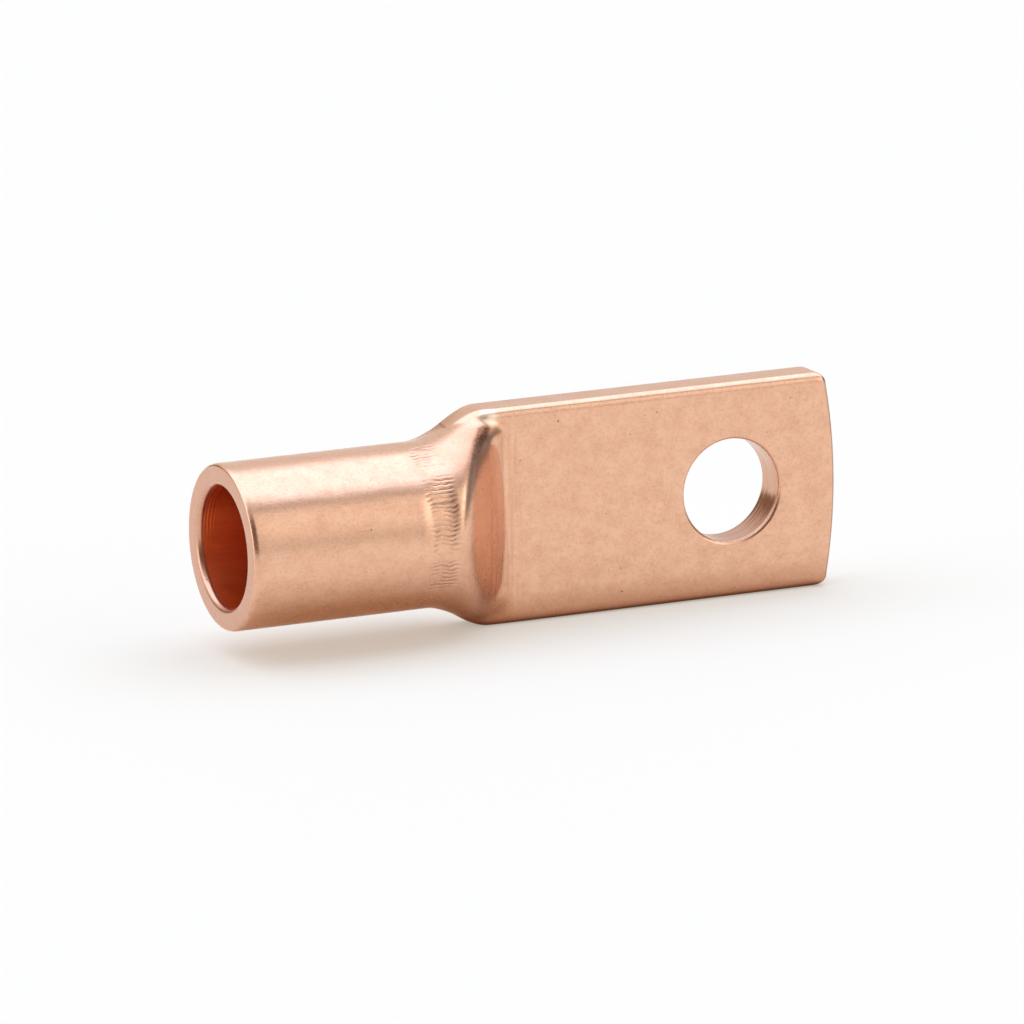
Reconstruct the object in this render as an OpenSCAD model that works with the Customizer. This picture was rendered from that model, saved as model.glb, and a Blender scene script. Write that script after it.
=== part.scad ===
// Tubular cable lug: a length of copper tube, pressed flat at one end into a palm with a stud hole.
// The origin is the middle of the stud hole. +X runs from the barrel to the palm's tip,
// +Y is the normal of the palm's contact face and +Z runs across the palm, up from the edge it stands on.

/* [Barrel] */
// Diameter of the cable bore
bore_d = 9.9; // [8.5:0.1:11]
// Wall thickness of the tube
wall_t = 1.8; // [1.5:0.1:2.2]
// Length of the straight barrel, from the mouth to where the press begins
barrel_len = 17; // [10:0.5:30]
// Rounding of the mouth's outer edge
mouth_edge_r = 0.3; // [0.1:0.05:0.6]
// Chamfer of the mouth's inner edge
mouth_chamfer = 0.5; // [0.2:0.05:0.8]

/* [Pressed transition] */
// Length of the shoulder, from the straight barrel to the top of the pressed wall
shoulder_len = 2; // [1.5:0.1:3]
// Length of the pressed wall, from the shoulder to the crease
wall_run = 5.5; // [5:0.1:7]
// Slope of the pressed wall at the crease, in degrees
crease_angle = 38; // [25:1:40]
// How far the crease bows towards the barrel at the palm's edges
crease_bow = 1.3; // [0.5:0.1:1.5]
// Length of the bent strip between the crease and the flat palm
bend_len = 1; // [0.5:0.1:2]
// Height of the crease above the flat palm
bend_rise = 0.08; // [0.03:0.01:0.2]
// Softness of the turn from the shoulder to the pressed wall
shoulder_soft = 1.7; // [0.6:0.1:2]
// Softness of that turn at the crease's two ends
end_soft = 0.6; // [0.3:0.1:1]
// Distance from the straight barrel to where the tube starts to flatten
flatten_start = 1.5; // [1:0.1:2.5]
// Length over which the tube would flatten to the palm's thickness
flatten_len = 9.3; // [8:0.1:12]
// Distance from the straight barrel to where the section starts to be pinched
pinch_start = 3; // [2:0.1:4]
// Length over which the section is pinched from an oval to an eye shape
pinch_len = 3; // [2:0.1:4]
// How far the section is pinched: 0 keeps an oval
pinch = 0.4; // [0:0.05:0.5]
// Distance from the end of the tube's oval to the palm's long edge, where they meet
oval_to_edge = 0.2; // [0.1:0.05:0.6]
// Distance from the end of the oval's widening to the crease
oval_end = 1; // [0.5:0.1:2]
// Distance from the end of the folded sides' widening to the crease
flare_end = 1.4; // [1:0.1:2.5]
// Softness of the valley between the bulge and the folded sides, at the palm
valley_soft = 0.25; // [0.15:0.05:0.5]
// Further softness of the valley where it leaves the barrel
valley_blend = 0.9; // [0.5:0.1:1.2]
// Rounding of the folded sides' front edges before they are pressed square
fold_r = 1.4; // [1:0.1:1.5]
// Softness of the crease along its middle
crease_soft = 0.1; // [0.05:0.05:0.3]
// Softness of the crease at its two ends, where it runs out
runout_soft = 1.5; // [0.5:0.1:1.8]
// Distance from the middle at which the crease starts to run out
runout_start = 5.3; // [4:0.1:6]
// Distance from the middle at which the crease has run out
runout_end = 7.3; // [6.5:0.1:8]
// Width of the slit that the bore closes to
slit_w = 0.3; // [0.2:0.05:0.5]
// Length of solid metal between the end of the slit and the crease
slit_to_crease = 1.2; // [0.8:0.1:2]

/* [Palm] */
// Length of the flat palm, from the bent strip to the tip
palm_len = 28.7; // [24:0.1:40]
// Width of the palm
palm_w = 17.9; // [16.5:0.1:22]
// Thickness of the palm
palm_t = 3.3; // [3:0.1:4]
// Distance of the palm's middle plane behind the barrel's axis
palm_offset = 0.6; // [0:0.1:1]
// Rounding of the front face's long edges
front_edge_r = 0.8; // [0.3:0.05:1]
// Rounding of the contact face's long edges
back_edge_r = 0.4; // [0.2:0.05:0.8]
// Radius of the curved tip
tip_r = 45.7; // [30:0.1:80]
// Rounding of the tip's two corners
tip_corner_r = 1; // [0.5:0.1:3]

/* [Stud hole] */
// Diameter of the stud hole
stud_hole_d = 8.5; // [6.5:0.1:10.5]
// Distance from the hole's centre to the tip
stud_hole_to_tip = 9.4; // [8:0.1:14]
// Rounding of the hole's edges
hole_edge_r = 0.35; // [0.1:0.05:0.6]

/* [Hidden] */
// Small step that keeps two surfaces from meeting exactly
lap = 0.01;
// How far a cutting shape reaches past the surface it cuts
over = 1;
// How far the pressed transition reaches into the barrel and into the palm
inset_len = 0.5;
// How far the folded sides start inside the barrel's wall
side_tuck = 0.4;
// Rings along the pressed wall, along the bent strip and along the closing bore
outer_steps = 28;
bend_steps = 4;
inner_steps = 12;
// Points across the round part of a ring's face and on each folded side of it, outside and in the bore
outer_points = [26, 8];
inner_points = [16, 4];
// Angle on the round section at which the folded sides begin
side_angle = 75;
// Roundness of the exact curves
$fn = 96;

bore_r = bore_d / 2;
barrel_r = bore_r + wall_t;
crease_x = barrel_len + shoulder_len + wall_run;
palm_x = crease_x + bend_len;
tip_x = palm_x + palm_len;
hole_x = tip_x - stud_hole_to_tip;
hole_r = stud_hole_d / 2;
crease_slope = tan(crease_angle);
slit_end_x = crease_x - slit_to_crease;
flatten_x = barrel_len + flatten_start;
pinch_x = barrel_len + pinch_start;

// Smooth step from 0 to 1
function ramp(x, from, to) =
    let (t = min(max((x - from) / (to - from), 0), 1))
    t * t * (3 - 2 * t);

// The lower or the higher of two values, with the corner between them rounded
function soft_min(a, b, soft) = min(a, b) - pow(max(soft - abs(a - b), 0), 2) / (4 * soft);
function soft_max(a, b, soft) = -soft_min(-a, -b, soft);

// Half the height of a round section at z from its middle, which goes on falling outside the section
function round_depth(z, r) = abs(z) <= r ? sqrt(r * r - z * z) : -sqrt(z * z - r * r);

// Half the thickness of a flat section with one rounded edge
function plate_depth(z, half_w, half_t, r) =
    let (past = min(max(abs(z) - (half_w - r), 0), r))
    half_t - r + sqrt(r * r - past * past);

// Depth of the palm's face from the barrel's axis: side is -1 for the front and 1 for the back
function palm_depth(side) = palm_t / 2 + side * palm_offset;

// The pressed wall: how much it bends, how high it stands d before the crease, and its slope there
function wall_bend(side) =
    (barrel_r - palm_depth(side) - bend_rise - crease_slope * wall_run) / pow(wall_run, 2);
function wall_rise(d, side) = bend_rise + crease_slope * d + wall_bend(side) * d * d;
function wall_slope(d, side) = crease_slope + 2 * wall_bend(side) * d;

// How far a ring bows towards the barrel at its two ends
function bow(x) = crease_bow * ramp(x, barrel_len, crease_x) * (1 - ramp(x, crease_x, palm_x));

// Half the width over the folded sides, which widen from the barrel to the palm
function side_half(x) =
    let (start = barrel_r - side_tuck)
    start + (palm_w / 2 - start) * ramp(x - bow(x), barrel_len, crease_x - flare_end)
    - lap * ramp(x, crease_x, palm_x);

// Half the width of the tube's oval
function oval_half(x) =
    let (start = barrel_r - lap)
    start + (palm_w / 2 - oval_to_edge - start) * ramp(x - bow(x), barrel_len, crease_x - oval_end);

// How far a ring leans towards the barrel at z from the middle
function lean(x, z) = bow(x) * pow(z / max(barrel_r, side_half(x)), 2);

// Depth of the flattened tube, whose section is pinched from round to an eye shape
function oval_depth(x, z, side) =
    let (
        place = x - lean(x, z),
        start = barrel_r - lap,
        depth = start + (palm_depth(side) - start) * ramp(place, flatten_x, flatten_x + flatten_len),
        power = 2 - pinch * ramp(place, pinch_x, pinch_x + pinch_len),
        inside = 1 - pow(abs(z) / oval_half(x), power)
    )
    depth * (inside > 0 ? pow(inside, 1 / power) : -sqrt(-inside));

// Depth of the folded sides, whose front edges are rolled round at first
function side_depth(x, z, side) =
    let (
        rolled = 1 - ramp(x, crease_x - wall_run / 2, palm_x),
        edge_r = side > 0 ? back_edge_r : front_edge_r + (fold_r - front_edge_r) * rolled
    )
    plate_depth(z, side_half(x), palm_depth(side) - lap, edge_r);

// Depth that the die presses the front and the back down to: the crease is sharp but runs out at its ends
function die_depth(x, z, side) =
    let (
        d = crease_x - x,
        bent = bend_rise * min(max(1 + d / bend_len, 0), 1),
        soft = crease_soft + (runout_soft - crease_soft) * ramp(abs(z), runout_start, runout_end)
    )
    palm_depth(side) - lap + soft_max(wall_rise(d, side), bent, soft);

// Depth of the outer face from the barrel's axis
function outer_depth(x, z, side) =
    let (
        place = x - lean(x, z),
        turn = shoulder_soft + (end_soft - shoulder_soft) * ramp(place, pinch_x, crease_x - bend_len),
        pressed = soft_min(oval_depth(x, z, side), die_depth(x, z, side), turn),
        valley = valley_soft + valley_blend * (1 - ramp(x, crease_x - wall_run, crease_x - 2 * bend_len)),
        on_side = abs(z) < side_half(x) + lap / 10,
        plate = on_side ? side_depth(x, z, side) : pressed,
        skin = on_side ? soft_max(plate, pressed, valley) : pressed
    )
    skin + (plate - skin) * ramp(x, crease_x, palm_x);

// Depth of the closing bore's face from the barrel's axis
function inner_depth(x, z, side) =
    let (
        d = crease_x - x,
        slope = wall_slope(d, side),
        level = palm_depth(side) + wall_rise(d, side) - wall_t * sqrt(1 + slope * slope),
        slit = slit_w / 2 + side * palm_offset,
        bore = round_depth(z, bore_r - lap),
        on_slit = abs(z) <= side_half(x) - wall_t,
        pressed = soft_min(bore, max(level, slit), shoulder_soft)
    )
    on_slit ? max(slit, pressed) : pressed;

// Heights of the points across a ring: even angles on the round part, then the folded sides out to half_w
function ring_z(r, half_w, points) =
    let (
        round_step = 2 * side_angle / (points[0] - 1),
        side_step = (90 - side_angle) / points[1],
        from = sin(side_angle),
        to = sin(90 - side_step / 2),
        round_part = [for (i = [0 : points[0] - 1]) r * sin(i * round_step - side_angle)],
        side_part = [
            for (i = [0 : points[1] - 1])
                let (share = (sin(side_angle + (i + 0.5) * side_step) - from) / (to - from))
                r * from + (half_w - r * from) * share
        ]
    )
    concat([for (i = [points[1] - 1 : -1 : 0]) -side_part[i]], round_part, side_part);

// Widest point of a round section that a ring's points reach
function ring_reach(r, points) = r * sin(90 - (90 - side_angle) / points[1] / 2);

function outer_ring(x) =
    let (
        reach = max(ring_reach(oval_half(x), outer_points), side_half(x)),
        heights = ring_z(barrel_r - lap, reach, outer_points),
        last = len(heights) - 1
    )
    concat(
        [for (z = heights) [x - lean(x, z), -outer_depth(x, z, -1), z]],
        [for (i = [last : -1 : 0]) let (z = heights[i]) [x - lean(x, z), outer_depth(x, z, 1), z]]
    );

function inner_ring(x) =
    let (
        r = bore_r - lap,
        reach = max(ring_reach(r, inner_points), side_half(x) - wall_t),
        heights = ring_z(r, reach, inner_points),
        last = len(heights) - 1
    )
    concat(
        [for (z = heights) [x, -inner_depth(x, z, -1), z]],
        [for (i = [last : -1 : 0]) let (z = heights[i]) [x, inner_depth(x, z, 1), z]]
    );

// Closed solid through a row of rings, each with its front points and then its back points
module loft(rings) {
    n = len(rings[0]);
    last = (len(rings) - 1) * n;
    sides = [
        for (i = [0 : len(rings) - 2])
            for (j = [0 : n - 1])
                let (a = i * n + j, b = i * n + (j + 1) % n)
                each [[a, b, b + n], [a, b + n, a + n]]
    ];
    ends = [
        for (j = [0 : n / 2 - 2])
            each [
                [j, n - 2 - j, j + 1],
                [j, n - 1 - j, n - 2 - j],
                [last + j, last + j + 1, last + n - 2 - j],
                [last + j, last + n - 2 - j, last + n - 1 - j]
            ]
    ];
    polyhedron([for (ring = rings) each ring], concat(sides, ends));
}

// Round tube stock, with the rounded mouth at x = 0
module barrel() {
    rotate([0, 90, 0])
        rotate_extrude()
            union() {
                square([barrel_r - mouth_edge_r, barrel_len]);
                translate([0, mouth_edge_r])
                    square([barrel_r, barrel_len - mouth_edge_r]);
                translate([barrel_r - mouth_edge_r, mouth_edge_r])
                    circle(mouth_edge_r);
            }
}

// The barrel's end, pressed down to the palm
module pressed_transition() {
    rise_step = (crease_x - barrel_len) / outer_steps;
    bend_step = bend_len / bend_steps;
    rings = concat(
        [outer_ring(barrel_len - inset_len)],
        [for (i = [0 : outer_steps]) outer_ring(barrel_len + i * rise_step)],
        [for (i = [1 : bend_steps]) outer_ring(crease_x + i * bend_step)],
        [outer_ring(palm_x + inset_len)]
    );
    loft(rings);
}

// Half of the section across the palm, with its two long edges rounded
module half_section(edge_r) {
    translate([0, -palm_t / 2])
        union() {
            translate([-palm_w / 2 + edge_r, 0])
                square([palm_w - 2 * edge_r, palm_t / 2 + lap]);
            translate([-palm_w / 2, edge_r])
                square([palm_w, palm_t / 2 - edge_r + lap]);
            for (end = [-1, 1])
                translate([end * (palm_w / 2 - edge_r), edge_r])
                    circle(edge_r);
        }
}

module palm_section() {
    half_section(back_edge_r);
    mirror([0, 1])
        half_section(front_edge_r);
}

// Outline of the tip, seen along the hole: an arc with two rounded corners
module tip_outline() {
    half_w = palm_w / 2 + lap;
    corner_z = half_w - tip_corner_r;
    corner_x = tip_x - tip_r + sqrt(tip_r * tip_r - corner_z * corner_z) - tip_corner_r;
    start_x = palm_x - over;
    intersection() {
        translate([tip_x - tip_r, 0])
            circle(tip_r);
        translate([start_x, -corner_z])
            square([tip_x + over - start_x, 2 * corner_z]);
    }
    translate([start_x, -half_w])
        square([corner_x - start_x, 2 * half_w]);
    for (end = [-1, 1])
        translate([corner_x, end * corner_z])
            circle(tip_corner_r);
}

// Flat palm, with its edges rounded and its tip curved
module palm() {
    intersection() {
        translate([palm_x, palm_offset, 0])
            rotate([90, 0, 90])
                linear_extrude(palm_len + over)
                    rotate(90)
                        palm_section();
        translate([0, palm_offset, 0])
            rotate([90, 0, 0])
                linear_extrude(palm_t + 2 * over, center = true)
                    tip_outline();
    }
}

// Cable bore: straight, chamfered at the mouth and closing to a slit inside the transition
module cable_bore() {
    close_step = (slit_end_x - barrel_len) / inner_steps;
    translate([-over, 0, 0])
        rotate([0, 90, 0])
            cylinder(r = bore_r, h = barrel_len + over);
    translate([-lap, 0, 0])
        rotate([0, 90, 0])
            cylinder(r1 = bore_r + mouth_chamfer + lap, r2 = bore_r, h = mouth_chamfer + lap);
    loft(concat(
        [inner_ring(barrel_len - inset_len)],
        [for (i = [0 : inner_steps]) inner_ring(barrel_len + i * close_step)]
    ));
}

// Stud hole through the palm, with both of its edges rounded
module stud_hole() {
    translate([hole_x, palm_offset, 0])
        rotate([90, 0, 0]) {
            cylinder(r = hole_r, h = palm_t + 2 * over, center = true);
            for (flip = [0, 1])
                mirror([0, 0, flip])
                    translate([0, 0, palm_t / 2 - hole_edge_r])
                        rotate_extrude()
                            difference() {
                                square([hole_r + hole_edge_r - lap, hole_edge_r + over]);
                                translate([hole_r + hole_edge_r, 0])
                                    circle(hole_edge_r);
                            }
        }
}

module cable_lug() {
    color([0.9, 0.68, 0.55])
        translate([-hole_x, -palm_offset, 0])
            difference() {
                union() {
                    barrel();
                    pressed_transition();
                    palm();
                }
                cable_bore();
                stud_hole();
            }
}

cable_lug();
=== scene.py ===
import math

import bpy
from mathutils import Matrix, Vector


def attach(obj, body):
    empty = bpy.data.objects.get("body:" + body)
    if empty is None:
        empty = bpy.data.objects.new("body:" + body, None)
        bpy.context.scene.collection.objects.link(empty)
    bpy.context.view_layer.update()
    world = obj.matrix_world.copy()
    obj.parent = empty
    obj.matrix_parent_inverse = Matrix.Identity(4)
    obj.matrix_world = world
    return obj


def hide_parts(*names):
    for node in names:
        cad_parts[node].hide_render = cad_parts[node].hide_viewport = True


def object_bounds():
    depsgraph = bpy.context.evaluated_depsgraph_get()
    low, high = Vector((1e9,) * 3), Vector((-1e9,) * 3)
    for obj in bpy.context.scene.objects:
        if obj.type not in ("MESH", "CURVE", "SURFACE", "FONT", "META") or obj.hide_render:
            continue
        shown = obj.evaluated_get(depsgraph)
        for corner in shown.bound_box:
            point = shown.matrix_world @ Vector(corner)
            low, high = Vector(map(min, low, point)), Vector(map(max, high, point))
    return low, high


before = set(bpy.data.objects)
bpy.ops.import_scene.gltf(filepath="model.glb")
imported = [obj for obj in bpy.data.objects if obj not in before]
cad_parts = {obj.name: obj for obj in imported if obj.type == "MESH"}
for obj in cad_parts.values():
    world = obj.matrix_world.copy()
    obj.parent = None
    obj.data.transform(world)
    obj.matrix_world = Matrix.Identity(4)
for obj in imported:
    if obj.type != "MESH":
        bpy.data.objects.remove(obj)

cad_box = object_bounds()
bpy.context.scene.view_settings.view_transform = "Standard"


# Camera: a long lens about 0.8 m away, to the left of the palm and a little above it.
# It is aimed near the crease between barrel and palm, and is rolled by under a degree.
camera_aim = Vector((-0.01873, -0.0006, 0.0))
camera_distance = 0.7962
camera_turn = math.radians(24.914)
camera_height = math.radians(13.339)
camera_roll = math.radians(-0.662)
focal_pixels = 9874.0
off_centre_x, off_centre_y = 6.009, 0.6
picture_width = 1024
sensor_width = 36.0

forward = Vector((
    math.sin(camera_turn) * math.cos(camera_height),
    math.cos(camera_turn) * math.cos(camera_height),
    -math.sin(camera_height),
))
level = Vector((math.cos(camera_turn), -math.sin(camera_turn), 0.0))
upright = level.cross(forward)
right = math.cos(camera_roll) * level + math.sin(camera_roll) * upright
up = math.cos(camera_roll) * upright - math.sin(camera_roll) * level
camera_place = camera_aim - camera_distance * forward
look = (forward - right * (off_centre_x / focal_pixels) + up * (off_centre_y / focal_pixels)).normalized()
right = (right - look * right.dot(look)).normalized()
up = right.cross(look)

camera_data = bpy.data.cameras.new("camera")
camera_data.sensor_width = sensor_width
camera_data.lens = focal_pixels * sensor_width / picture_width
camera_data.clip_start = 0.01
camera = bpy.data.objects.new("camera", camera_data)
turn = Matrix((right, up, -look)).transposed()
camera.matrix_world = Matrix.Translation(camera_place) @ turn.to_4x4()
bpy.context.scene.collection.objects.link(camera)
bpy.context.scene.camera = camera


# The cable lug: one length of round copper tube, whose end is pressed flat into a palm.
# The mouth is faced and deburred, the stud hole is drilled, and the copper is left bare.
lug_sizes = {
    "Bore radius": 4.95,
    "Wall": 1.8,
    "Barrel length": 17.0,
    "Mouth edge": 0.25,
    "Mouth roll": 0.5,
    "Mouth deburr": 0.5,
    "Shoulder length": 2.0,
    "Wall run": 5.5,
    "Crease bow": 1.3,
    "Bend length": 1.0,
    "Bend rise": 0.08,
    "Shoulder softness": 1.7,
    "Ear softness": 0.6,
    "Oval half width": 8.75,
    "Oval end": 1.0,
    "Flatten start": 1.5,
    "Flatten length": 9.3,
    "Pinch start": 3.0,
    "Pinch length": 3.0,
    "Flare end": 1.4,
    "Valley softness": 0.25,
    "Fold radius": 1.4,
    "Crease softness": 0.1,
    "Run-out softness": 1.5,
    "Run-out start": 5.3,
    "Run-out end": 7.3,
    "Fold blend": 0.9,
    "Slit width": 0.3,
    "Slit to crease": 1.2,
    "Palm length": 28.7,
    "Palm width": 17.9,
    "Palm thickness": 3.3,
    "Palm offset": 0.6,
    "Front edge": 0.8,
    "Back edge": 0.4,
    "Tip radius": 45.7,
    "Tip corner": 1.0,
    "Tip edge": 0.4,
    "Hole radius": 4.25,
    "Hole to tip": 9.4,
    "Hole edge": 0.35,
    "Side tuck": 0.4,
    "Wrinkle height": 0.025,
    "Groove depth": 0.06,
}
crease_slope = math.tan(math.radians(38))
millimetre = 0.001
hairline = 0.001 * millimetre

# How far the section is pinched from an oval to an eye, and the deburr's width over its depth
pinch = 0.4
deburr_share = 0.85

# Points round the skin, half of them on the front and half on the back
columns = 512
half_columns = columns // 2
column_angle = math.pi / half_columns
last_angle = (math.pi - column_angle) / 2
side_angle = math.radians(75)

# Columns from the palm's middle to the hole's wall, and to where the hole's rings end
rim_columns, room_columns = 29.5, 79.5
rim_reach = rim_columns / room_columns
room_angle = room_columns * column_angle
wall_share, edge_share = 0.2, 0.6

lug_tree = bpy.data.node_groups.new("lug_pressed_from_tube", "GeometryNodeTree")
lug_tree.interface.new_socket("Geometry", in_out="OUTPUT", socket_type="NodeSocketGeometry")
lug_sockets = {
    name: lug_tree.interface.new_socket(name, in_out="INPUT", socket_type="NodeSocketFloat").identifier
    for name in lug_sizes
}
for name in ("Pressed copper", "Turned copper"):
    material_socket = lug_tree.interface.new_socket(name, in_out="INPUT", socket_type="NodeSocketMaterial")
    lug_sockets[name] = material_socket.identifier
lug_inputs = lug_tree.nodes.new("NodeGroupInput")


def add_node(tree, kind, links=None, **settings):
    """A node of a tree, with its settings and inputs filled in."""
    made = tree.nodes.new(kind)
    for key, value in settings.items():
        setattr(made, key, value)
    for key, value in (links or {}).items():
        if isinstance(value, Field):
            tree.links.new(value.socket, made.inputs[key])
        elif isinstance(value, bpy.types.NodeSocket):
            tree.links.new(value, made.inputs[key])
        else:
            made.inputs[key].default_value = value
    return made


def lug_node(kind, links=None, **settings):
    return add_node(lug_tree, kind, links, **settings)


class Field:
    """A number that varies over the lug's skin, for plain arithmetic in its tree."""

    def __init__(self, socket):
        self.socket = socket

    def __add__(self, other):
        return sum_of(self, other)

    def __sub__(self, other):
        return calc("SUBTRACT", self, other)

    def __rsub__(self, other):
        return calc("SUBTRACT", other, self)

    def __mul__(self, other):
        return calc("MULTIPLY", self, other)

    def __truediv__(self, other):
        return calc("DIVIDE", self, other)

    def __gt__(self, other):
        return calc("GREATER_THAN", self, other)

    def __lt__(self, other):
        return calc("LESS_THAN", self, other)

    __radd__ = __add__
    __rmul__ = __mul__


def calc(operation, *values):
    return Field(lug_node("ShaderNodeMath", dict(enumerate(values)), operation=operation).outputs[0])


def sum_of(a, b):
    return calc("ADD", a, b)


def least(a, b):
    return calc("MINIMUM", a, b)


def most(a, b):
    return calc("MAXIMUM", a, b)


def size_of(a):
    return calc("ABSOLUTE", a)


def root(a):
    return calc("SQRT", most(a, 0.0))


def sine(a):
    return calc("SINE", a)


def cosine(a):
    return calc("COSINE", a)


def held(a, low, high):
    return least(most(a, low), high)


def between(a, b, share):
    return a + (b - a) * share


def choose(test, yes, no):
    return no + (yes - no) * test


def ramp(x, start, end):
    share = held((x - start) / (end - start), 0.0, 1.0)
    return share * share * (3.0 - share * 2.0)


def soft_least(a, b, soft):
    gap = most(soft - size_of(a - b), 0.0)
    return least(a, b) - gap * gap / (soft * 4.0)


def soft_most(a, b, soft):
    gap = most(soft - size_of(a - b), 0.0)
    return most(a, b) + gap * gap / (soft * 4.0)


def lug(name):
    return Field(lug_inputs.outputs[name])


bore_r = lug("Bore radius")
barrel_r = bore_r + lug("Wall")
barrel_len = lug("Barrel length")
shoulder_x = barrel_len + lug("Shoulder length")
crease_x = shoulder_x + lug("Wall run")
palm_x = crease_x + lug("Bend length")
tip_x = palm_x + lug("Palm length")
hole_x = tip_x - lug("Hole to tip")
slit_end_x = crease_x - lug("Slit to crease")
half_palm_w = lug("Palm width") * 0.5
half_palm_t = lug("Palm thickness") * 0.5

# Each band of the skin is a grid, whose rows run along the tube and whose columns run round it
grid_place = lug_node("ShaderNodeSeparateXYZ", {0: lug_node("GeometryNodeInputPosition").outputs[0]})
along = Field(grid_place.outputs["X"]) + 0.5
column = (Field(grid_place.outputs["Y"]) + 0.5) * columns
column = column - (column > columns - 0.25) * columns
on_back = column > half_columns - 0.25
side = on_back * 2.0 - 1.0
front_angle = (column + 0.5) * column_angle - math.pi / 2
angle = front_angle * (1.0 - on_back) + (math.pi - front_angle) * on_back
steepness = size_of(angle)
plate_edge = choose(on_back, lug("Back edge"), lug("Front edge"))


def ring_height(radius, half_width):
    """Height of a ring's points: even angles on the round part, then the folded sides."""
    start = math.sin(side_angle)
    share = (sine(steepness) - start) / (math.sin(last_angle) - start)
    folded = calc("SIGN", angle) * (radius * start + (half_width - radius * start) * share)
    return choose(steepness > side_angle, folded, radius * sine(angle))


def round_depth(z, radius):
    """Half the height of a round section, which goes on falling outside it."""
    inside = radius * radius - z * z
    return root(inside) - root(0.0 - inside)


def plate_depth(z, half_width, half_thick, edge):
    """Half the thickness of a flat section with a rounded edge."""
    past = held(size_of(z) - (half_width - edge), 0.0, edge)
    return half_thick - edge + root(edge * edge - past * past)


def wall_bend(depth):
    """How much the pressed wall bends on its way to the crease."""
    run = lug("Wall run")
    return (barrel_r - depth - lug("Bend rise") - run * crease_slope) / (run * run)


def wall_rise(before_crease, depth):
    """Height of the pressed wall above the palm."""
    bent = wall_bend(depth) * before_crease * before_crease
    return lug("Bend rise") + before_crease * crease_slope + bent


def wall_slope(before_crease, depth):
    """Slope of the pressed wall."""
    return wall_bend(depth) * before_crease * 2.0 + crease_slope


def crease_bow(x):
    """How far the rings bow towards the barrel at their edges."""
    return lug("Crease bow") * ramp(x, barrel_len, crease_x) * (1.0 - ramp(x, crease_x, palm_x))


def folded_half_width(x):
    """Half the width over the folded sides, from the barrel to the palm."""
    start = barrel_r - lug("Side tuck")
    return start + (half_palm_w - start) * ramp(x - crease_bow(x), barrel_len, crease_x - lug("Flare end"))


def steps(*parts):
    """Place along a band whose parts have their own number of rows: (rows, end) after a start."""
    start, parts = parts[0], parts[1:]
    rows = sum(count for count, end in parts)
    place, done = start, 0
    for count, end in parts:
        share = held(along * (rows / count) - done / count, 0.0, 1.0)
        place, start, done = place + (end - start) * share, end, done + count
    return rows, place


def band(rows, x, y, z, cut=None, turned=0.0):
    """One band of the skin, moved from its grid to its place."""
    grid = lug_node("GeometryNodeMeshGrid", {
        "Size X": 1.0, "Size Y": 1.0, "Vertices X": rows + 1, "Vertices Y": columns + 1,
    }).outputs["Mesh"]
    if cut is not None:
        grid = lug_node(
            "GeometryNodeDeleteGeometry", {"Geometry": grid, "Selection": cut}, domain="FACE"
        ).outputs[0]
    grid = lug_node("GeometryNodeStoreNamedAttribute", {
        "Geometry": grid, "Name": "turned", "Value": turned,
    }, data_type="FLOAT", domain="POINT").outputs[0]
    place = lug_node("ShaderNodeCombineXYZ", {"X": x, "Y": y, "Z": z}).outputs[0]
    return lug_node("GeometryNodeSetPosition", {"Geometry": grid, "Position": place}).outputs[0]


# Cable bore: straight to the end of the barrel, then closing to a slit inside the transition
def bore_ring(x):
    before = crease_x - x
    depth = half_palm_t + side * lug("Palm offset")
    slope = wall_slope(before, depth)
    floor_level = depth + wall_rise(before, depth) - lug("Wall") * root(slope * slope + 1.0)
    slit = lug("Slit width") * 0.5 + side * lug("Palm offset")
    slit_half = folded_half_width(x) - lug("Wall")
    z = ring_height(bore_r, most(bore_r * math.sin(last_angle), slit_half))
    softness = lug("Shoulder softness") * ramp(x, barrel_len, shoulder_x)
    pressed = soft_least(round_depth(z, bore_r), most(floor_level, slit), softness)
    on_slit = size_of(z) < slit_half + hairline
    return choose(on_slit, most(slit, pressed), pressed) * side, z


slit_y, slit_z = bore_ring(slit_end_x)
slit_end = band(1, slit_end_x, between(lug("Palm offset"), slit_y, along), slit_z, turned=1.0)
closing_x = between(slit_end_x, barrel_len, along)
closing = band(10, closing_x, *bore_ring(closing_x), turned=1.0)
straight_bore = band(
    4, between(barrel_len, lug("Mouth deburr"), along),
    cosine(angle) * bore_r * side, sine(angle) * bore_r, turned=1.0,
)

# Mouth: the deburred inner edge, the faced ring and the rounded outer edge
quarter = along * (math.pi / 2)
deburr = lug("Mouth deburr")
deburr_r = bore_r + deburr * (1.0 - cosine(quarter)) * deburr_share
deburred_edge = band(
    8, deburr * (1.0 - sine(quarter)), cosine(angle) * deburr_r * side, sine(angle) * deburr_r, turned=1.0
)
outer_edge = lug("Mouth edge")
face_r = between(bore_r + deburr * deburr_share, barrel_r - outer_edge, ramp(along, 0.0, 1.0))
faced_ring = band(3, 0.0, cosine(angle) * face_r * side, sine(angle) * face_r, turned=1.0)
round_r = barrel_r - outer_edge * (1.0 - sine(quarter))
rounded_edge = band(
    8, lug("Mouth roll") * (1.0 - cosine(quarter)), cosine(angle) * round_r * side, sine(angle) * round_r
)

# Barrel and pressed transition: the round section swells into the shoulder, then the front wall
# falls steeply to the crease while the sides fold out to the palm's width
press_reach = 2.4 * millimetre
press_start = barrel_len - press_reach
barrel = band(
    8, between(lug("Mouth roll"), press_start, calc("POWER", along, 1.5)),
    cosine(angle) * barrel_r * side, sine(angle) * barrel_r,
)


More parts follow.
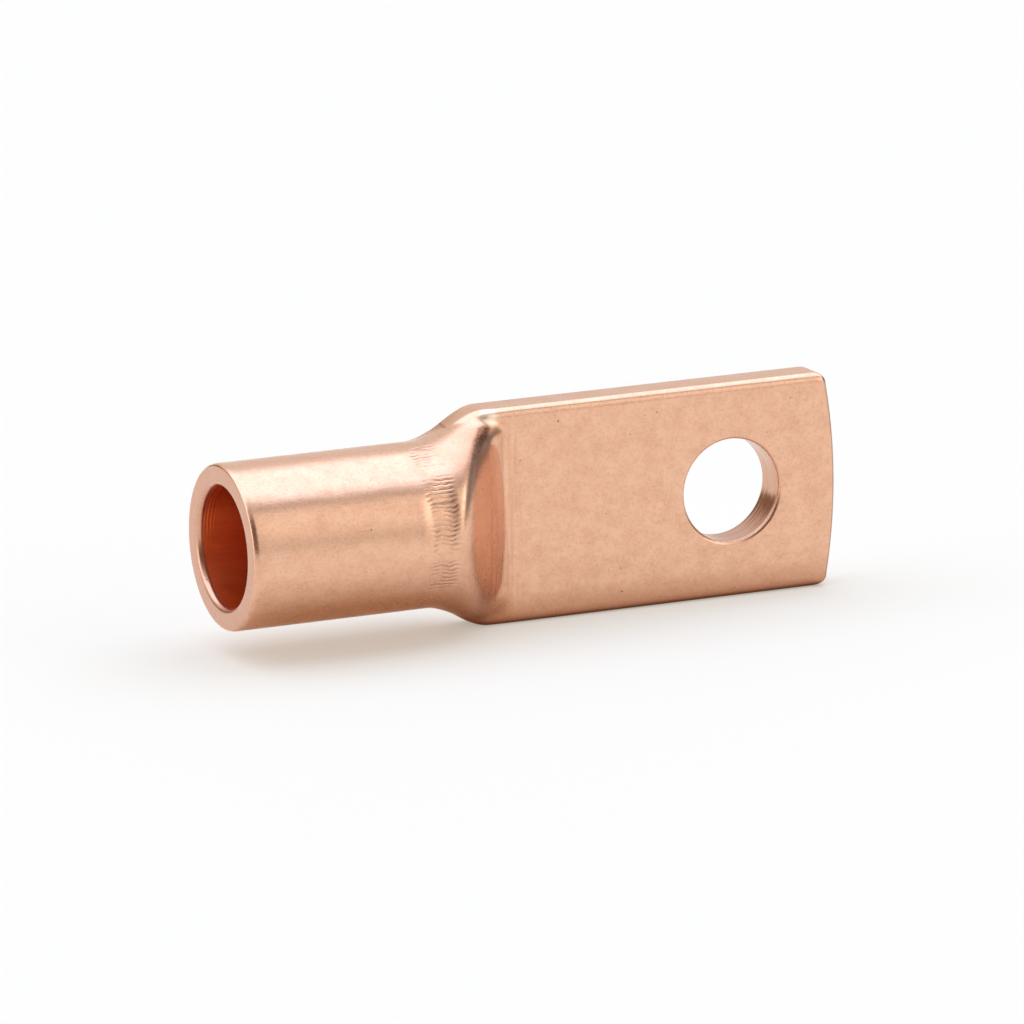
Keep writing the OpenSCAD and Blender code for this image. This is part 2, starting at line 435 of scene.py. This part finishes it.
def pressed_ring(x):
    before = crease_x - x
    bow = crease_bow(x)
    depth = half_palm_t + side * lug("Palm offset")
    half_w = folded_half_width(x)
    widened = ramp(x - bow, barrel_len, crease_x - lug("Oval end"))
    oval_w = between(barrel_r, lug("Oval half width"), widened)
    z = ring_height(barrel_r, most(oval_w * math.sin(last_angle), half_w))
    share = z / most(barrel_r, half_w)
    place = x - bow * share * share
    flatten_x = barrel_len + lug("Flatten start")
    oval_d = barrel_r + (depth - barrel_r) * ramp(place, flatten_x, flatten_x + lug("Flatten length"))
    pinch_x = barrel_len + lug("Pinch start")
    power = 2.0 - ramp(place, pinch_x, pinch_x + lug("Pinch length")) * pinch
    inside = 1.0 - calc("POWER", size_of(z) / oval_w, power)
    oval = oval_d * (calc("POWER", most(inside, 0.0), calc("DIVIDE", 1.0, power)) - root(0.0 - inside))
    bent = lug("Bend rise") * held(before / lug("Bend length") + 1.0, 0.0, 1.0)
    run_out = ramp(size_of(z), lug("Run-out start"), lug("Run-out end"))
    crease_soft = between(lug("Crease softness"), lug("Run-out softness"), run_out)
    level = depth + soft_most(wall_rise(before, depth), bent, crease_soft)
    rolled = 1.0 - ramp(x, crease_x - lug("Wall run") * 0.5, palm_x)
    edge = plate_edge + (lug("Fold radius") - plate_edge) * rolled * (1.0 - on_back)
    plate = plate_depth(z, half_w, depth, edge)
    to_ears = ramp(place, pinch_x, crease_x - lug("Bend length"))
    turn = between(lug("Shoulder softness"), lug("Ear softness"), to_ears)
    pressed = soft_least(oval, level, turn)
    valley = 1.0 - ramp(x, shoulder_x, crease_x - lug("Bend length") * 2.0)
    valley = (lug("Valley softness") + lug("Fold blend") * valley) * ramp(x, press_start, barrel_len)
    on_side = size_of(z) < half_w + hairline
    skin_depth = choose(on_side, soft_most(plate, pressed, valley), pressed)
    skin_depth = between(skin_depth, plate, ramp(x, crease_x, palm_x))
    return place, skin_depth * side, z


press_rows, press_x = steps(press_start, (64, crease_x), (8, palm_x))
transition = band(press_rows, *pressed_ring(press_x))

# Palm and stud hole: a flat plate with rounded long edges, whose grid closes in rings round the hole
hole_room = 5.6 * millimetre


def palm_ring(x):
    z = ring_height(barrel_r, half_palm_w)
    depth = plate_depth(z, half_palm_w, half_palm_t, plate_edge)
    across, upward = (x - hole_x) / hole_room, angle / room_angle
    reach = most(size_of(across), size_of(upward))
    out = held((reach - rim_reach) / (1.0 - rim_reach), 0.0, 1.0)
    flat_x, flat_z = across / reach, upward / reach
    beside = size_of(across) > size_of(upward)
    eighth = math.pi / 4
    turn_x = choose(beside, calc("SIGN", across) * cosine(flat_z * eighth), sine(flat_x * eighth))
    turn_z = choose(beside, sine(flat_z * eighth), calc("SIGN", upward) * cosine(flat_x * eighth))
    edge = lug("Hole edge")
    roll = held((out - wall_share) / (edge_share - wall_share), 0.0, 1.0) * (math.pi / 2)
    rim_r = lug("Hole radius") + edge * (1.0 - cosine(roll))
    rim_depth = (half_palm_t - edge) * held(out / wall_share, 0.0, 1.0) + edge * sine(roll)
    spread = held((out - edge_share) / (1.0 - edge_share), 0.0, 1.0)
    ringed = reach < 1.0
    ring_x = hole_x + between(rim_r * turn_x, flat_x * hole_room, spread)
    ring_z = between(rim_r * turn_z, barrel_r * sine(flat_z * room_angle), spread)
    y = choose(ringed, rim_depth, depth) * side + lug("Palm offset")
    on_wall = ringed * (out < wall_share + 0.1)
    over_hole = reach < rim_reach - 0.002
    return choose(ringed, ring_x, x), y, choose(ringed, ring_z, z), on_wall, over_hole


hole_end = hole_x + hole_room
hole_wall_x = hole_room * rim_reach
palm_rows, palm_along = steps(
    palm_x, (6, hole_x - hole_room), (15, hole_x - hole_wall_x), (20, hole_x + hole_wall_x), (15, hole_end)
)
palm_place_x, palm_place_y, palm_place_z, on_wall, over_hole = palm_ring(palm_along)
palm = band(palm_rows, palm_place_x, palm_place_y, palm_place_z, cut=over_hole, turned=on_wall)

# Tip: a shallow arc with small corners, its edges broken
tip_z = ring_height(barrel_r, half_palm_w)
tip_depth = plate_depth(tip_z, half_palm_w, half_palm_t, plate_edge)
tip_r, corner_r = lug("Tip radius"), lug("Tip corner")
corner_z = half_palm_w - corner_r


def tip_arc(z):
    return tip_x - tip_r + root(tip_r * tip_r - z * z)


past_corner = most(size_of(tip_z) - corner_z, 0.0)
corner_x = tip_arc(corner_z) - corner_r + root(corner_r * corner_r - past_corner * past_corner)
tip_edge_x = choose(size_of(tip_z) > corner_z, corner_x, tip_arc(tip_z))
tip_edge = lug("Tip edge")
tip_flat = band(
    4, between(hole_end, tip_edge_x - tip_edge, along), tip_depth * side + lug("Palm offset"), tip_z
)
rolled_depth = tip_depth * (half_palm_t - tip_edge * (1.0 - cosine(quarter))) / half_palm_t
tip_roll = band(
    6, tip_edge_x - tip_edge * (1.0 - sine(quarter)), rolled_depth * side + lug("Palm offset"), tip_z
)
end_depth = tip_depth * (half_palm_t - tip_edge) / half_palm_t
tip_end = band(2, tip_edge_x, end_depth * (1.0 - along) * side + lug("Palm offset"), tip_z)

skin = lug_node("GeometryNodeJoinGeometry")
for part in (
    slit_end, closing, straight_bore, deburred_edge, faced_ring, rounded_edge, barrel, transition, palm,
    tip_flat, tip_roll, tip_end,
):
    lug_tree.links.new(part, skin.inputs[0])
welded = lug_node("GeometryNodeMergeByDistance", {
    "Geometry": skin.outputs[0], "Distance": hairline,
}).outputs[0]

# Forming wrinkles: short ridges along the tube, in groups round the barrel's end, in a shallow groove.
# Each group has its middle and its half width in degrees, and its strength.
wrinkle_groups = ((68, 16, 0.9), (31, 19, 1.0), (4, 14, 0.8), (-26, 16, 1.0), (180, 70, 0.5))
ridge_count, ridge_wander = 112.0, 14.0
tube_place = lug_node("ShaderNodeSeparateXYZ", {0: lug_node("GeometryNodeInputPosition").outputs[0]})
tube_x, tube_y, tube_z = (Field(tube_place.outputs[axis]) / millimetre for axis in "XYZ")
tube_angle = calc("ARCTAN2", tube_z, 0.0 - tube_y)
wander_place = lug_node("ShaderNodeCombineXYZ", {
    "X": tube_x * 0.9, "Y": tube_angle * 5.0, "Z": 3.1,
}).outputs[0]
wander = Field(lug_node("ShaderNodeTexNoise", {
    "Vector": wander_place, "Scale": 1.0, "Detail": 1.0, "Roughness": 0.5,
}).outputs[0])
ridges = sine(tube_angle * ridge_count + wander * ridge_wander)
group_share = 0.0
for middle, half_width, strength in wrinkle_groups:
    off = size_of(tube_angle - math.radians(middle)) / math.radians(half_width)
    group_share = most(group_share, ramp(1.0 - off, 0.0, 0.5) * strength)
on_turned = Field(lug_node(
    "GeometryNodeInputNamedAttribute", {"Name": "turned"}, data_type="FLOAT"
).outputs[0])
outside = 1.0 - on_turned
ridge_zone = ramp(tube_x, 15.3, 15.8) * (1.0 - ramp(tube_x, 17.4, 18.3)) * ramp(wander, 0.3, 0.55) * outside
groove_zone = ramp(tube_x, 14.8, 15.8) * (1.0 - ramp(tube_x, 17.0, 18.2)) * outside
groove_zone = groove_zone * ramp(cosine(tube_angle), 0.6, 0.9)
ridge_height = (ridges - 1.0) * group_share * ridge_zone * lug("Wrinkle height")
ridge_height = ridge_height - groove_zone * lug("Groove depth")
push = lug_node("ShaderNodeVectorMath", {
    0: lug_node("GeometryNodeInputNormal").outputs[0], "Scale": ridge_height,
}, operation="SCALE").outputs[0]
wrinkled = lug_node("GeometryNodeSetPosition", {"Geometry": welded, "Offset": push}).outputs[0]
# Where the wrinkles' valleys lie, kept for the painted shade in them
valley_share = ramp(0.0 - ridges, 0.3, 1.0) * group_share * ridge_zone
wrinkled = lug_node("GeometryNodeStoreNamedAttribute", {
    "Geometry": wrinkled, "Name": "wrinkle_valley", "Value": valley_share,
}, data_type="FLOAT", domain="POINT").outputs[0]

# The lug's own frame starts at the middle of the stud hole
home = lug_node("ShaderNodeCombineXYZ", {"X": 0.0 - hole_x, "Y": 0.0 - lug("Palm offset")}).outputs[0]
moved = lug_node("GeometryNodeTransform", {"Geometry": wrinkled, "Translation": home}).outputs[0]
smooth = lug_node("GeometryNodeSetShadeSmooth", {"Geometry": moved}).outputs[0]
real = lug_node("GeometryNodeRealizeInstances", {"Geometry": smooth}).outputs[0]
pressed_faces = lug_node("GeometryNodeSetMaterial", {
    "Geometry": real, "Material": lug_inputs.outputs["Pressed copper"],
}).outputs[0]
turned_faces = lug_node("GeometryNodeSetMaterial", {
    "Geometry": pressed_faces, "Selection": on_turned > 0.5,
    "Material": lug_inputs.outputs["Turned copper"],
}).outputs[0]
lug_tree.links.new(turned_faces, lug_tree.nodes.new("NodeGroupOutput").inputs[0])


# Finish of the copper all over the lug: grain along the drawn tube, slow waves, mottling and pits
finish_tree = bpy.data.node_groups.new("copper_finish", "ShaderNodeTree")
finish_tree.interface.new_socket("Place", in_out="INPUT", socket_type="NodeSocketVector")
for name in ("Height", "Mottle", "Grain", "Pits"):
    finish_tree.interface.new_socket(name, in_out="OUTPUT", socket_type="NodeSocketFloat")
finish_in = add_node(finish_tree, "NodeGroupInput")
finish_out = add_node(finish_tree, "NodeGroupOutput")


def finish_noise(stretch, detail, roughness):
    """Noise on the lug's place in millimetres, stretched along its axes."""
    place = add_node(finish_tree, "ShaderNodeVectorMath", {
        0: finish_in.outputs["Place"], 1: stretch,
    }, operation="MULTIPLY").outputs[0]
    return add_node(finish_tree, "ShaderNodeTexNoise", {
        "Vector": place, "Scale": 1.0, "Detail": detail, "Roughness": roughness,
    }).outputs[0]


def finish_math(operation, *values):
    return add_node(finish_tree, "ShaderNodeMath", dict(enumerate(values)), operation=operation).outputs[0]


drawn_grain = finish_noise((0.9, 6.0, 6.0), 2.0, 0.6)
satin = finish_noise((3.0, 3.0, 3.0), 2.0, 0.6)
waves = finish_noise((0.25, 0.5, 0.5), 1.0, 0.4)
height = finish_math("MULTIPLY_ADD", satin, 0.6, drawn_grain)
height = finish_math("MULTIPLY_ADD", waves, 9.0, height)
mottle = finish_noise((0.6, 0.7, 0.7), 3.0, 0.65)
grain = finish_noise((4.0, 4.5, 4.5), 2.0, 0.7)
pit_cells = add_node(finish_tree, "ShaderNodeTexVoronoi", {
    "Vector": finish_in.outputs["Place"], "Scale": 0.9, "Randomness": 1.0,
})
pit_size = add_node(finish_tree, "ShaderNodeSeparateColor", {0: pit_cells.outputs["Color"]}).outputs[0]
pit_radius = finish_math("MULTIPLY_ADD", pit_size, 0.13, -0.04)
pit_depth = finish_math("SUBTRACT", pit_radius, pit_cells.outputs["Distance"])
pits = add_node(finish_tree, "ShaderNodeMapRange", {
    "Value": pit_depth, "From Min": 0.0, "From Max": 0.03,
}).outputs[0]
for name, value in {"Height": height, "Mottle": mottle, "Grain": grain, "Pits": pits}.items():
    finish_tree.links.new(value, finish_out.inputs[name])


def copper(name):
    """A bare copper material: its tree, shader, place in millimetres and the shared finish."""
    made = bpy.data.materials.new(name)
    made.use_nodes = True
    tree = made.node_tree
    shader = tree.nodes["Principled BSDF"]
    shader.inputs["Metallic"].default_value = 1.0
    place = add_node(tree, "ShaderNodeVectorMath", {
        0: add_node(tree, "ShaderNodeTexCoord").outputs["Object"], "Scale": 1.0 / millimetre,
    }, operation="SCALE").outputs[0]
    finish = add_node(tree, "ShaderNodeGroup", node_tree=finish_tree)
    tree.links.new(place, finish.inputs["Place"])
    return made, tree, shader, place, finish


def mixed(tree, share, a, b):
    """A colour between two others."""
    return add_node(tree, "ShaderNodeMix", {0: share, 6: a, 7: b}, data_type="RGBA").outputs[2]


def spread(tree, value, low, high, to_low=0.0, to_high=1.0):
    """A value moved from one range to another and held inside it."""
    return add_node(tree, "ShaderNodeMapRange", {
        "Value": value, "From Min": low, "From Max": high, "To Min": to_low, "To Max": to_high,
    }).outputs[0]


# Pressed skin: bright satin copper, a little tarnished in patches
painted_highlight_copper = (0.98, 0.74, 0.58, 1.0)
clean_copper = (0.835, 0.50, 0.338, 1.0)
tarnish_and_shade_copper = (0.64, 0.325, 0.20, 1.0)
low_edge_shade_copper = (0.55, 0.25, 0.135, 1.0)
contact_shadow_brown = (0.34, 0.135, 0.075, 1.0)
painted_shade_brown = (0.17, 0.055, 0.026, 1.0)
pit_and_shade_brown = (0.22, 0.10, 0.065, 1.0)
skin_relief = 0.004 * millimetre
pressed_copper, skin_tree, skin_shader, skin_place, skin_finish = copper("pressed_copper")
skin_split = add_node(skin_tree, "ShaderNodeSeparateXYZ", {0: skin_place})
skin_x, skin_y, skin_z = (skin_split.outputs[axis] for axis in "XYZ")


def skin_math(operation, *values):
    return add_node(skin_tree, "ShaderNodeMath", dict(enumerate(values)), operation=operation).outputs[0]


def skin_range(value, *limits):
    return spread(skin_tree, value, *limits)


def skin_times(first, *others):
    """The product of several shares."""
    for other in others:
        first = skin_math("MULTIPLY", first, other)
    return first


mottle_share = skin_range(skin_finish.outputs["Mottle"], 0.4, 0.75, 0.0, 0.4)
skin_tint = mixed(skin_tree, mottle_share, clean_copper, tarnish_and_shade_copper)
grain_share = skin_range(skin_finish.outputs["Grain"], 0.48, 0.74, 0.0, 0.55)
skin_tint = mixed(skin_tree, grain_share, skin_tint, tarnish_and_shade_copper)

# The press left faint marks across the pressed wall beside the crease
mark_stretch = (3.5, 0.5, 0.12)
mark_place = add_node(
    skin_tree, "ShaderNodeVectorMath", {0: skin_place, 1: mark_stretch}, operation="MULTIPLY"
).outputs[0]
marks = add_node(skin_tree, "ShaderNodeTexNoise", {
    "Vector": mark_place, "Scale": 1.0, "Detail": 2.0, "Roughness": 0.6,
}).outputs[0]
mark_share = skin_times(
    skin_range(marks, 0.42, 0.68, 0.0, 0.8), skin_range(skin_x, -24.0, -23.0),
    skin_range(skin_x, -18.5, -20.0), skin_range(skin_math("ABSOLUTE", skin_z), 7.6, 6.4),
)
skin_tint = mixed(skin_tree, mark_share, skin_tint, tarnish_and_shade_copper)

# Painted shade darkens the shoulder above the crease's upper end, and a painted highlight brightens the bump
# beside it
shade_line_curve, shade_line_start = 0.0078, -25.75
bump_place = (-21.6, -1.45, 8.3)
shade_line = skin_math("MULTIPLY_ADD", skin_math("POWER", skin_z, 3.0), shade_line_curve, shade_line_start)
off_line = skin_math("ABSOLUTE", skin_math("SUBTRACT", skin_x, shade_line))
on_shoulder = skin_times(skin_range(skin_z, 8.0, 7.7), skin_range(skin_y, -1.2, -1.6))
# A wide, soft painted shade round the line
soft_shade_share = skin_times(skin_range(off_line, 2.6, 0.6, 0.0, 0.85), skin_range(skin_z, 3.8, 5.5), on_shoulder)
skin_tint = mixed(skin_tree, soft_shade_share, skin_tint, tarnish_and_shade_copper)
# A darker, grainy painted shade along the line
dark_shade_share = skin_times(
    skin_range(off_line, 0.95, 0.45), skin_range(skin_z, 4.8, 7.0, 0.0, 0.95), on_shoulder,
    skin_range(skin_finish.outputs["Grain"], 0.35, 0.6, 0.55, 1.0),
)
skin_tint = mixed(skin_tree, dark_shade_share, skin_tint, painted_shade_brown)
# A painted highlight on the bump beside the crease's upper end
from_bump = add_node(
    skin_tree, "ShaderNodeVectorMath", {0: skin_place, 1: bump_place}, operation="DISTANCE"
).outputs["Value"]
skin_tint = mixed(skin_tree, skin_range(from_bump, 1.0, 0.4, 0.0, 0.9), skin_tint, painted_highlight_copper)

# Painted shade browns the lower edge, which lies on the bench, and a painted contact shadow darkens its
# lowest line
heel_lift = skin_range(skin_x, -19.5, -23.0, 0.0, 2.6)
above_bench = skin_math("SUBTRACT", skin_z, heel_lift)
low_edge_shade_share = skin_times(skin_range(above_bench, -6.4, -8.8, 0.0, 0.7), skin_range(skin_x, -28.0, -23.0))
skin_tint = mixed(skin_tree, low_edge_shade_share, skin_tint, low_edge_shade_copper)
# The painted contact shadow along the lower edge's lowest line
contact_shadow_line = skin_range(skin_z, -8.35, -8.75, 0.0, 0.75)
skin_tint = mixed(skin_tree, contact_shadow_line, skin_tint, contact_shadow_brown)

# The tip was sheared off along an arc, and painted shade darkens its front edge
arc_r = lug_sizes["Tip radius"]
arc_middle = lug_sizes["Hole to tip"] - arc_r
arc_x = skin_math("SQRT", skin_math("SUBTRACT", arc_r ** 2, skin_math("POWER", skin_z, 2.0)))
past_arc = skin_math("SUBTRACT", skin_x, skin_math("ADD", arc_x, arc_middle))
tip_edge_shade_share = skin_times(skin_range(past_arc, -0.3, -0.12, 0.0, 0.75), skin_range(skin_y, -1.15, -1.4))
skin_tint = mixed(skin_tree, tip_edge_shade_share, skin_tint, pit_and_shade_brown)

# Painted shade darkens the wrinkles' valleys, and dirt stays in the pits
valley = add_node(skin_tree, "ShaderNodeAttribute", attribute_name="wrinkle_valley").outputs["Fac"]
skin_tint = mixed(skin_tree, skin_range(valley, 0.0, 1.0, 0.0, 0.7), skin_tint, pit_and_shade_brown)
skin_tint = mixed(skin_tree, skin_finish.outputs["Pits"], skin_tint, pit_and_shade_brown)
skin_tree.links.new(skin_tint, skin_shader.inputs["Base Color"])
skin_rough = skin_range(skin_finish.outputs["Mottle"], 0.3, 0.7, 0.2, 0.3)
skin_tree.links.new(skin_rough, skin_shader.inputs["Roughness"])
skin_bump = add_node(skin_tree, "ShaderNodeBump", {
    "Strength": 1.0, "Distance": skin_relief, "Height": skin_finish.outputs["Height"],
})
skin_tree.links.new(skin_bump.outputs[0], skin_shader.inputs["Normal"])

# Turned faces: the mouth, the bore and the stud hole's wall keep the marks of their cutters
cut_copper = (0.69, 0.40, 0.28, 1.0)
drilled_copper = (0.50, 0.27, 0.18, 1.0)
bore_copper = (1.0, 0.26, 0.08, 1.0)
bore_dark = (0.82, 0.16, 0.045, 1.0)
bore_painted_shade = (0.55, 0.075, 0.012, 1.0)
cut_relief = 0.006 * millimetre
turned_copper, cut_tree, cut_shader, cut_place, cut_finish = copper("turned_copper")
cut_split = add_node(cut_tree, "ShaderNodeSeparateXYZ", {0: cut_place})
cut_x, cut_y, cut_z = (cut_split.outputs[axis] for axis in "XYZ")


def cut_math(operation, *values):
    return add_node(cut_tree, "ShaderNodeMath", dict(enumerate(values)), operation=operation).outputs[0]


def cut_range(value, *limits):
    return spread(cut_tree, value, *limits)


def cut_times(first, *others):
    """The product of several shares."""
    for other in others:
        first = cut_math("MULTIPLY", first, other)
    return first


# Turned faces within the bore's limit of the mouth are the bore's, and those past it the stud hole's
bore_limit = 30.0
mouth_to_tip = sum(
    lug_sizes[name] for name in ("Barrel length", "Shoulder length", "Wall run", "Bend length", "Palm length")
)
from_mouth = cut_math("ADD", cut_x, mouth_to_tip - lug_sizes["Hole to tip"])
in_barrel = cut_math("LESS_THAN", from_mouth, bore_limit)
in_bore = cut_times(cut_range(from_mouth, 0.4, 0.7), in_barrel)
in_hole = cut_math("SUBTRACT", 1.0, in_barrel)

# The boring tool left rings just inside the mouth, and the drill left them round the stud hole
boring_pitch = 21.0
drill_across, drill_round = 3.0, 0.25
boring_rings = cut_times(
    cut_math("SINE", cut_math("MULTIPLY", from_mouth, boring_pitch)), cut_range(from_mouth, 2.2, 0.9),
    cut_range(cut_z, -1.5, 1.0), in_bore,
)
hole_turn = cut_math("ARCTAN2", cut_z, cut_x)
drill_place = add_node(cut_tree, "ShaderNodeCombineXYZ", {
    "X": cut_math("MULTIPLY", cut_y, drill_across), "Y": cut_math("MULTIPLY", hole_turn, drill_round),
}).outputs[0]
drill_rings = add_node(cut_tree, "ShaderNodeTexNoise", {
    "Vector": drill_place, "Scale": 1.0, "Detail": 2.0, "Roughness": 0.6,
}).outputs[0]
cut_height = cut_times(drill_rings, in_hole, 9.0)
cut_height = cut_math("MULTIPLY_ADD", cut_finish.outputs["Height"], 0.6, cut_height)
cut_height = cut_math("MULTIPLY_ADD", boring_rings, 1.2, cut_height)
cut_bump = add_node(cut_tree, "ShaderNodeBump", {
    "Strength": 1.0, "Distance": cut_relief, "Height": cut_height,
})
cut_tree.links.new(cut_bump.outputs[0], cut_shader.inputs["Normal"])
cut_grain = cut_range(cut_finish.outputs["Grain"], 0.42, 0.72, 0.0, 0.6)
cut_tint = mixed(cut_tree, cut_grain, cut_copper, tarnish_and_shade_copper)
drill_share = cut_times(cut_range(drill_rings, 0.4, 0.65, 0.0, 0.45), in_hole)
cut_tint = mixed(cut_tree, drill_share, cut_tint, drilled_copper)

# The bore is streaked along its length, and painted shade darkens it away from its middle
streak_stretch = (0.15, 2.5, 2.5)
bore_middle = -0.6
streak_place = add_node(
    cut_tree, "ShaderNodeVectorMath", {0: cut_place, 1: streak_stretch}, operation="MULTIPLY"
).outputs[0]
streaks = add_node(cut_tree, "ShaderNodeTexNoise", {
    "Vector": streak_place, "Scale": 1.0, "Detail": 2.0, "Roughness": 0.6,
}).outputs[0]
bore_tint = mixed(cut_tree, cut_range(streaks, 0.4, 0.7, 0.0, 0.4), bore_copper, bore_dark)
# Painted shade away from the bore's middle
from_middle = cut_math("ABSOLUTE", cut_math("SUBTRACT", cut_z, bore_middle))
bore_tint = mixed(cut_tree, cut_range(from_middle, 2.2, 4.4, 0.0, 0.95), bore_tint, bore_painted_shade)
cut_tint = mixed(cut_tree, in_bore, cut_tint, bore_tint)
cut_tint = mixed(cut_tree, cut_finish.outputs["Pits"], cut_tint, pit_and_shade_brown)
cut_tree.links.new(cut_tint, cut_shader.inputs["Base Color"])
cut_rough = cut_range(cut_finish.outputs["Mottle"], 0.3, 0.7, 0.24, 0.34)
cut_rough = cut_math("MULTIPLY_ADD", in_bore, 0.3, cut_rough)
cut_rough = cut_math("MULTIPLY_ADD", in_hole, -0.1, cut_rough)
cut_tree.links.new(cut_rough, cut_shader.inputs["Roughness"])

# The tree makes the lug once, and the plain mesh that it leaves is the piece
lug_start = bpy.data.objects.new("lug_start", bpy.data.meshes.new("lug_start"))
bpy.context.scene.collection.objects.link(lug_start)
press = lug_start.modifiers.new("press", "NODES")
press.node_group = lug_tree
for name, value in lug_sizes.items():
    press[lug_sockets[name]] = value * millimetre
press[lug_sockets["Pressed copper"]] = pressed_copper
press[lug_sockets["Turned copper"]] = turned_copper
flats = lug_start.modifiers.new("flats", "WEIGHTED_NORMAL")
flats.keep_sharp = True
evaluated = lug_start.evaluated_get(bpy.context.evaluated_depsgraph_get())
lug_mesh = bpy.data.meshes.new_from_object(evaluated)
lug_mesh.name = "lug"
bpy.data.objects.remove(lug_start)
lug_piece = bpy.data.objects.new("lug", lug_mesh)
bpy.context.scene.collection.objects.link(lug_piece)
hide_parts("cable_lug")
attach(lug_piece, "root")


# Floor: a wide white light table under the palm's lower edge, on which the lug stands.
# To the camera it glows, which keeps the shadow pale; the lug reflects it as plain warm white.
floor_size = 1.5
floor_z = cad_box[0][2]
floor_mesh = bpy.data.meshes.new("floor")
floor_corners = ((-1, -1), (1, -1), (1, 1), (-1, 1))
floor_mesh.from_pydata(
    [(x * floor_size, y * floor_size, floor_z) for x, y in floor_corners], [], [(0, 1, 2, 3)]
)
floor = bpy.data.objects.new("floor", floor_mesh)
white_table = bpy.data.materials.new("white_table")
white_table.use_nodes = True
table_tree = white_table.node_tree
table_shader = table_tree.nodes["Principled BSDF"]
seen = add_node(table_tree, "ShaderNodeLightPath").outputs["Is Camera Ray"]
for name, to_lug, to_camera in (
    ("Base Color", (0.825, 0.775, 0.68, 1.0), (0.49, 0.475, 0.44, 1.0)),
    ("Emission Color", (0.06, 0.03, 0.01, 1.0), (0.41, 0.38, 0.335, 1.0)),
):
    table_tree.links.new(mixed(table_tree, seen, to_lug, to_camera), table_shader.inputs[name])
table_shader.inputs["Roughness"].default_value = 0.9
table_shader.inputs["Specular IOR Level"].default_value = 0.1
table_shader.inputs["Emission Strength"].default_value = 1.0
floor_mesh.materials.append(white_table)
bpy.context.scene.collection.objects.link(floor)


# Studio: one bright softbox over the lug, a paler one in front, and dim gaps between them.
# The world holds them as soft bands round the lug's length.
studio = bpy.data.worlds.new("studio")
bpy.context.scene.world = studio
studio.use_nodes = True
studio_tree = studio.node_tree
studio_tree.nodes.clear()


def studio_node(kind, links=None, **settings):
    return add_node(studio_tree, kind, links, **settings)


def studio_math(operation, *values):
    return studio_node("ShaderNodeMath", dict(enumerate(values)), operation=operation).outputs[0]


def studio_times(first, *others):
    """The product of several shares."""
    for other in others:
        first = studio_math("MULTIPLY", first, other)
    return first


direction = studio_node("ShaderNodeTexCoord").outputs["Generated"]
split = studio_node("ShaderNodeSeparateXYZ", {0: direction})
across, upward = split.outputs["X"], split.outputs["Z"]
to_front = studio_math("MULTIPLY", split.outputs["Y"], -1.0)
round_lug = studio_math("ARCTAN2", upward, to_front)
share = studio_node("ShaderNodeMapRange", {
    "Value": round_lug, "From Min": -math.pi, "From Max": math.pi,
}).outputs[0]
bands = studio_node("ShaderNodeValToRGB", {"Fac": share})

# Degrees round the lug, from straight in front upwards, and the light that comes from there
studio_levels = (
    (-180, (0.9, 0.89, 0.87)), (-90, (0.8, 0.8, 0.8)), (-10, (0.72, 0.7, 0.68)), (5, (0.72, 0.7, 0.68)),
    (18, (1.02, 1.0, 0.97)), (52, (1.17, 1.15, 1.12)), (59, (0.5, 0.49, 0.48)), (65, (0.5, 0.49, 0.48)),
    (76, (1.7, 1.95, 2.4)), (126, (1.8, 2.05, 2.5)), (138, (0.85, 0.86, 0.88)), (150, (0.85, 0.83, 0.81)),
    (170, (0.84, 0.80, 0.76)),
)
ramp_stops = bands.color_ramp.elements
while len(ramp_stops) > 1:
    ramp_stops.remove(ramp_stops[-1])
brightest = 2.5
for count, (degrees, colour) in enumerate(studio_levels):
    stop = ramp_stops[0] if count == 0 else ramp_stops.new((degrees + 180) / 360)
    stop.position = (degrees + 180) / 360
    stop.color = tuple(part / brightest for part in colour) + (1.0,)


def studio_range(value, low, high, to_low, to_high):
    return studio_node("ShaderNodeMapRange", {
        "Value": value, "From Min": low, "From Max": high, "To Min": to_low, "To Max": to_high,
    }, interpolation_type="SMOOTHSTEP").outputs[0]


def turn_range(low, high, to_low, to_high):
    """A share that changes with the angle round the lug, in degrees."""
    return studio_range(round_lug, math.radians(low), math.radians(high), to_low, to_high)


# The front softbox is brighter towards its right end, and the room to the right of it is dim
right_level = studio_range(across, 0.74, 0.88, 1.0, 0.25)
right_box = studio_times(
    studio_range(across, 0.45, 0.60, 0.0, 0.8), studio_range(across, 0.70, 0.80, 1.0, 0.0),
    turn_range(46, 56, 1.0, 0.0),
)
right_level = studio_times(right_level, studio_math("ADD", 1.0, right_box))
lit = studio_node("ShaderNodeVectorMath", {
    0: bands.outputs[0], "Scale": right_level,
}, operation="SCALE").outputs[0]

# The room is dark where the camera stands, and behind the lug on the left
dark_room = (0.06, 0.04, 0.03, 1.0)
camera_dark = studio_times(
    studio_range(across, 0.12, 0.30, 1.0, 0.0), studio_range(across, -0.98, -0.88, 0.0, 1.0),
    turn_range(46, 58, 0.97, 0.0), turn_range(-60, -40, 0.0, 1.0),
)
lit = mixed(studio_tree, camera_dark, lit, dark_room)
dark_wood = (0.11, 0.07, 0.05, 1.0)
behind = studio_times(
    studio_range(across, -0.1, 0.2, 0.95, 0.0), studio_range(across, -0.85, -0.7, 0.0, 1.0),
    turn_range(150, 160, 0.0, 1.0),
)
lit = mixed(studio_tree, behind, lit, dark_wood)

# A window at the far left lights the bore
window_light = (0.85, 0.8, 0.76, 1.0)
window = studio_times(studio_range(across, -0.97, -0.9, 1.0, 0.0), studio_range(upward, 0.25, 0.4, 1.0, 0.0))
lit = mixed(studio_tree, window, lit, window_light)
glow = studio_node("ShaderNodeBackground", {"Color": lit, "Strength": brightest})
studio_node("ShaderNodeOutputWorld", {"Surface": glow.outputs[0]})
